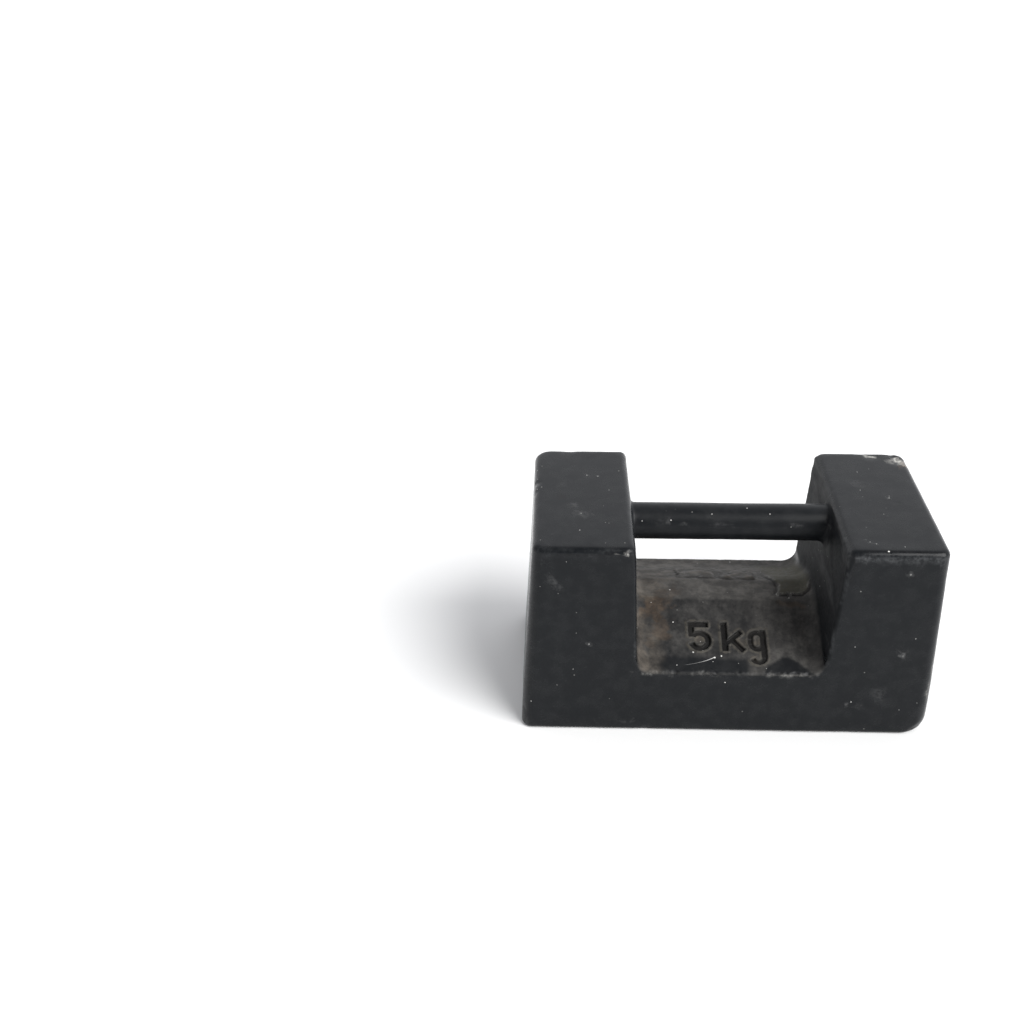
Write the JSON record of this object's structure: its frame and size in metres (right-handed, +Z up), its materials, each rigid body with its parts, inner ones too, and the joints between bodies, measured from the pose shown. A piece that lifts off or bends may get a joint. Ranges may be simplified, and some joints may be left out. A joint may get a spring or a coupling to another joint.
{
  "type": "rectangular bar weight",
  "caption": "Black-painted cast-iron block weight with an upright at each end and a round grip bar across the gap between them; mass figures sunk in the sloping gap floor.",
  "frame": {"origin": "centre of the base, on the surface the weight stands on", "axes": "+X along the length, towards the right upright; +Y along the depth, away from the face whose slope carries the figures; +Z up"},
  "size_m": [0.1568, 0.0772, 0.0832],
  "materials": {
    "black_paint": "semi-gloss black paint over rough iron, rubbed and dusty, with brown rust in the gap"
  },
  "bodies": {
    "root": {"bar_weight": "black_paint"}
  },
  "joints": []
}
